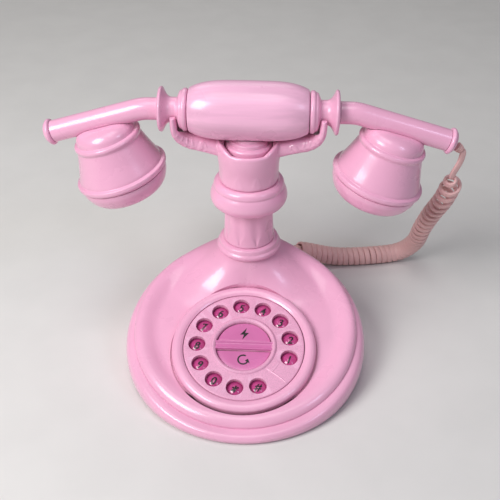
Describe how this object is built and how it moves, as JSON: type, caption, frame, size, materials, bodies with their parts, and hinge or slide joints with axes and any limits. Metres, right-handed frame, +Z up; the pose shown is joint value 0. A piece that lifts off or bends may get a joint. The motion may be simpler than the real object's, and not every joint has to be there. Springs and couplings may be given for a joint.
{
  "type": "princess-style telephone",
  "caption": "Compact push-button telephone with a tilted dish base, turned column, forked cradle, lift-off barrel-grip handset and coiled handset cord.",
  "frame": {"origin": "on the supporting surface, under the middle of the foot circle", "axes": "+X to the mouthpiece end of the handset, towards the cord; +Y from the dial to the column, the back; +Z up"},
  "size_m": [0.2604, 0.1932, 0.1724],
  "materials": {
    "pink_plastic": "glossy moulded ABS",
    "disc_plastic": "satin moulded ABS",
    "key_plastic": "glossy moulded ABS",
    "cord_vinyl": "soft satin vinyl",
    "foot_rubber": "matte rubber",
    "mat_rubber": "silicone",
    "steel": "zinc-plated",
    "black_plastic": "moulded nylon",
    "circuit_board": "solder mask",
    "clear_plastic": "milky clear polycarbonate"
  },
  "bodies": {
    "base": {"base_shell": "pink_plastic", "base_skirt": "pink_plastic", "bottom_plate": "pink_plastic", "plate_screw_1": "steel", "plate_screw_2": "steel", "plate_screw_3": "steel", "rubber_foot_1": "foot_rubber", "rubber_foot_2": "foot_rubber", "rubber_foot_3": "foot_rubber", "rubber_foot_4": "foot_rubber", "ballast_plate": "steel", "ringer_buzzer": "black_plastic", "handset_jack": "black_plastic", "line_jack": "black_plastic", "dial_bezel": "pink_plastic", "number_disc": "disc_plastic", "keypad_mat": "mat_rubber", "main_board": "circuit_board", "base_collar": "pink_plastic", "column_lower": "pink_plastic", "column_bulge": "pink_plastic", "column_cup": "pink_plastic", "cradle": "pink_plastic", "plunger_spring": "steel", "hook_switch": "black_plastic", "column_bolt": "steel", "cord_curl": "cord_vinyl", "cord_lead_base": "cord_vinyl", "cord_plug": "clear_plastic"},
    "plunger": {"hook_plunger": "pink_plastic"},
    "key_1": {"key_1": "key_plastic"},
    "key_2": {"key_2": "key_plastic"},
    "key_3": {"key_3": "key_plastic"},
    "key_4": {"key_4": "key_plastic"},
    "key_5": {"key_5": "key_plastic"},
    "key_6": {"key_6": "key_plastic"},
    "key_7": {"key_7": "key_plastic"},
    "key_8": {"key_8": "key_plastic"},
    "key_9": {"key_9": "key_plastic"},
    "key_0": {"key_0": "key_plastic"},
    "key_star": {"key_star": "key_plastic"},
    "key_hash": {"key_hash": "key_plastic"},
    "flash_key": {"flash_key": "key_plastic"},
    "redial_key": {"redial_key": "key_plastic"},
    "handset": {"grip_barrel": "pink_plastic", "handset_rod": "steel", "neck_left": "pink_plastic", "neck_right": "pink_plastic", "tube_left": "pink_plastic", "tube_right": "pink_plastic", "end_cap_left": "pink_plastic", "end_cap_right": "pink_plastic", "cup_left": "pink_plastic", "cup_right": "pink_plastic", "earpiece_cap": "pink_plastic", "mouthpiece_cap": "pink_plastic", "receiver_speaker": "black_plastic", "microphone_capsule": "steel", "cord_grommet": "cord_vinyl", "cord_lead_top": "cord_vinyl"}
  },
  "joints": [
    {"name": "handset_lift", "type": "slide", "parent": "base", "child": "handset", "axis": [0, 0, 1], "range_m": [0, 0.08]},
    {"name": "plunger_rise", "type": "slide", "parent": "base", "child": "plunger", "axis": [0, 0, 1], "range_m": [0, 0.004], "deforming": ["plunger_spring"]},
    {"name": "key_1_press", "type": "slide", "parent": "base", "child": "key_1", "axis": [0, 0.2773, -0.9608], "range_m": [0, 0.0012], "stiffness_N_per_m": 400},
    {"name": "key_2_press", "type": "slide", "parent": "base", "child": "key_2", "axis": [0, 0.2773, -0.9608], "range_m": [0, 0.0012], "stiffness_N_per_m": 400},
    {"name": "key_3_press", "type": "slide", "parent": "base", "child": "key_3", "axis": [0, 0.2773, -0.9608], "range_m": [0, 0.0012], "stiffness_N_per_m": 400},
    {"name": "key_4_press", "type": "slide", "parent": "base", "child": "key_4", "axis": [0, 0.2773, -0.9608], "range_m": [0, 0.0012], "stiffness_N_per_m": 400},
    {"name": "key_5_press", "type": "slide", "parent": "base", "child": "key_5", "axis": [0, 0.2773, -0.9608], "range_m": [0, 0.0012], "stiffness_N_per_m": 400},
    {"name": "key_6_press", "type": "slide", "parent": "base", "child": "key_6", "axis": [0, 0.2773, -0.9608], "range_m": [0, 0.0012], "stiffness_N_per_m": 400},
    {"name": "key_7_press", "type": "slide", "parent": "base", "child": "key_7", "axis": [0, 0.2773, -0.9608], "range_m": [0, 0.0012], "stiffness_N_per_m": 400},
    {"name": "key_8_press", "type": "slide", "parent": "base", "child": "key_8", "axis": [0, 0.2773, -0.9608], "range_m": [0, 0.0012], "stiffness_N_per_m": 400},
    {"name": "key_9_press", "type": "slide", "parent": "base", "child": "key_9", "axis": [0, 0.2773, -0.9608], "range_m": [0, 0.0012], "stiffness_N_per_m": 400},
    {"name": "key_0_press", "type": "slide", "parent": "base", "child": "key_0", "axis": [0, 0.2773, -0.9608], "range_m": [0, 0.0012], "stiffness_N_per_m": 400},
    {"name": "key_star_press", "type": "slide", "parent": "base", "child": "key_star", "axis": [0, 0.2773, -0.9608], "range_m": [0, 0.0012], "stiffness_N_per_m": 400},
    {"name": "key_hash_press", "type": "slide", "parent": "base", "child": "key_hash", "axis": [0, 0.2773, -0.9608], "range_m": [0, 0.0012], "stiffness_N_per_m": 400},
    {"name": "flash_key_press", "type": "slide", "parent": "base", "child": "flash_key", "axis": [0, 0.2773, -0.9608], "range_m": [0, 0.0012], "stiffness_N_per_m": 400},
    {"name": "redial_key_press", "type": "slide", "parent": "base", "child": "redial_key", "axis": [0, 0.2773, -0.9608], "range_m": [0, 0.0012], "stiffness_N_per_m": 400}
  ],
  "couplings": [
    {"joint": "plunger_rise", "follows": "handset_lift", "ratio": 0.05}
  ]
}
